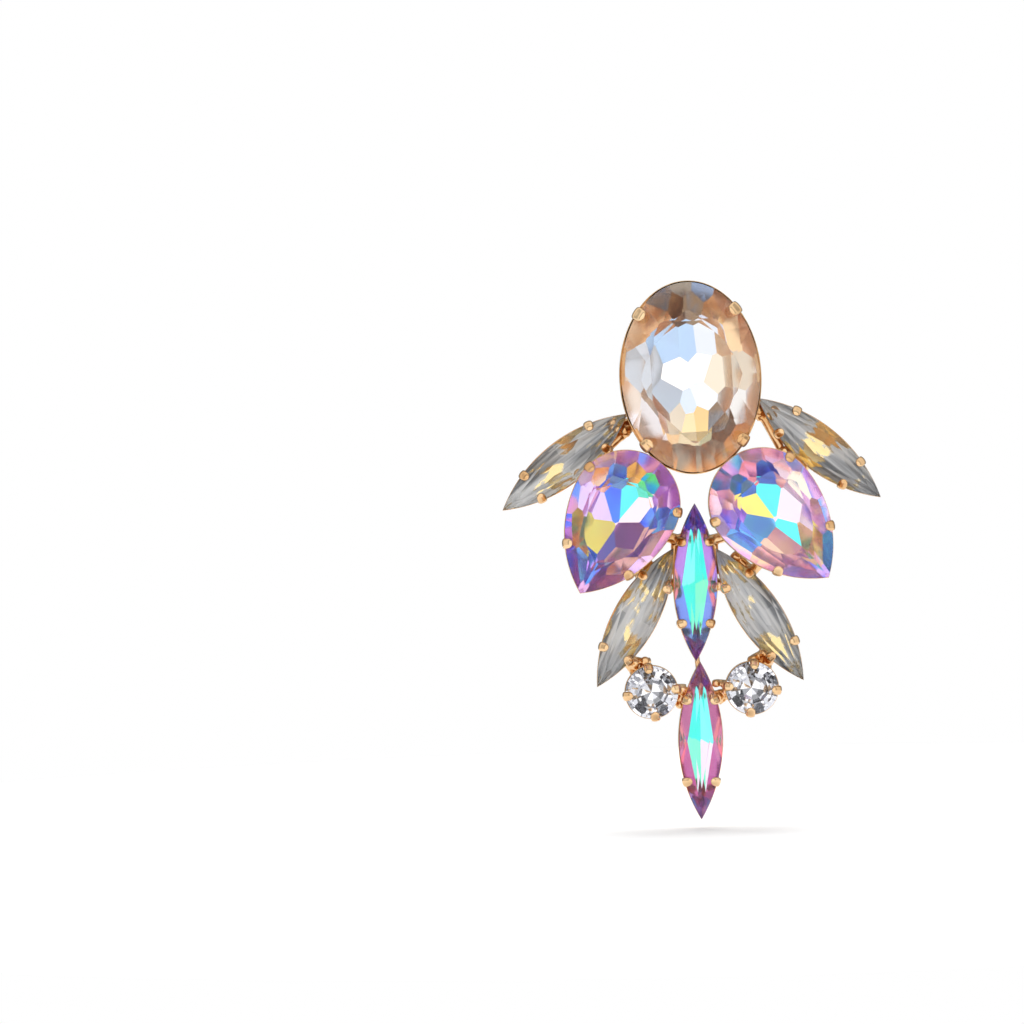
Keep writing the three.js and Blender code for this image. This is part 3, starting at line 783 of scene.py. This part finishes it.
# The studio: a plain white floor just under the tip, a wide soft light overhead and a white room. The stones
# and the metal mirror the room's lighter and darker zones, and the camera sees it plain white.
floor_radius = 120 * mm
floor_gap = 0.8 * mm
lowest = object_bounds()[0].z
bm = bmesh.new()
bmesh.ops.create_circle(bm, cap_ends=True, segments=96, radius=floor_radius)
bm.transform(Matrix.Translation((0, 0, lowest - floor_gap)))
floor_paint, nodes, links, shader = new_material("white_floor")
shader.inputs["Base Color"].default_value = (0.98, 0.98, 0.98, 1)
shader.inputs["Roughness"].default_value = 0.9
shader.inputs["Specular IOR Level"].default_value = 0.0
floor = finished("floor", bm, floor_paint)

scene = bpy.context.scene
world = bpy.data.worlds.new("white_room")
world.use_nodes = True
scene.world = world
nodes, links = world.node_tree.nodes, world.node_tree.links
background = nodes["Background"]
view_way = nodes.new("ShaderNodeTexCoord")
parts = nodes.new("ShaderNodeSeparateXYZ")


def room_ramp(source, stops):
    """Light and dark zones of the room along one axis, given from -1 to 1."""
    halved = nodes.new("ShaderNodeMath")
    halved.operation = "MULTIPLY_ADD"
    halved.inputs[1].default_value, halved.inputs[2].default_value = 0.5, 0.5
    ramp = nodes.new("ShaderNodeValToRGB")
    ramp.color_ramp.elements.remove(ramp.color_ramp.elements[1])
    for k, (position, value) in enumerate(stops):
        place = position / 2 + 0.5
        stop = ramp.color_ramp.elements[0] if k == 0 else ramp.color_ramp.elements.new(place)
        stop.position, stop.color = place, (value, value, value, 1)
    links.new(source, halved.inputs[0])
    links.new(halved.outputs[0], ramp.inputs["Fac"])
    return ramp.outputs["Color"]


links.new(view_way.outputs["Generated"], parts.inputs["Vector"])
up = room_ramp(parts.outputs["Z"], [
    (-1, 0.9), (-0.5, 0.75), (-0.36, 0.6), (-0.24, 1.0), (0.3, 1.05), (1, 1.15),
])
back = room_ramp(parts.outputs["Y"], [
    (-1, 1.15), (-0.8, 1.3), (-0.58, 1.25), (-0.47, 0.5), (-0.3, 0.45), (-0.16, 1.05), (0.2, 0.9), (0.55, 0.3),
    (1, 0.25),
])
both = nodes.new("ShaderNodeMix")
both.data_type, both.blend_type = "RGBA", "MULTIPLY"
both.inputs[0].default_value = 1.0
links.new(up, both.inputs[6])
links.new(back, both.inputs[7])
rays = nodes.new("ShaderNodeLightPath")
seen = nodes.new("ShaderNodeMix")
seen.data_type = "RGBA"
seen.inputs[7].default_value = (1, 1, 1, 1)
links.new(rays.outputs["Is Camera Ray"], seen.inputs[0])
links.new(both.outputs[2], seen.inputs[6])
links.new(seen.outputs[2], background.inputs["Color"])
background.inputs["Strength"].default_value = 1.0

sun = bpy.data.lights.new("overhead_softbox", "SUN")
sun.energy = 1.5
sun.angle = math.radians(40)
overhead = bpy.data.objects.new("overhead_softbox", sun)
overhead.rotation_euler = (math.radians(-12), 0, 0)
overhead.visible_glossy = overhead.visible_transmission = False
scene.collection.objects.link(overhead)

# The camera: a long lens straight in front of the earring, rolled to the earring's lean. The picture is 1024
# pixels wide and high, and the oval's middle stands to the right of its middle and above it.
picture = 1024
pixel = 0.0965 * mm
oval_across, oval_down = 690.3, 377.5
lean = math.radians(1.59)
camera = bpy.data.cameras.new("camera")
camera.lens = 135
camera.sensor_width = 36
eye = bpy.data.objects.new("camera", camera)
beside = Vector((oval_across - picture / 2, 0, picture / 2 - oval_down)) * -pixel
away = picture * pixel * camera.lens / camera.sensor_width
level = Matrix.Rotation(lean, 4, "Y")
aim = Vector((0, -4.0 * mm, -2.5 * mm)) + (level @ beside)
ahead = Matrix.Rotation(math.pi / 2, 4, "X")
eye.matrix_world = Matrix.Translation(aim + Vector((0, -away, 0))) @ level @ ahead
camera.clip_start, camera.clip_end = 0.01, 20
scene.collection.objects.link(eye)
scene.camera = eye
scene.view_settings.view_transform = "Standard"
scene.cycles.use_denoising = True
scene.cycles.max_bounces = 32
scene.cycles.transmission_bounces = 24
scene.cycles.glossy_bounces = 24
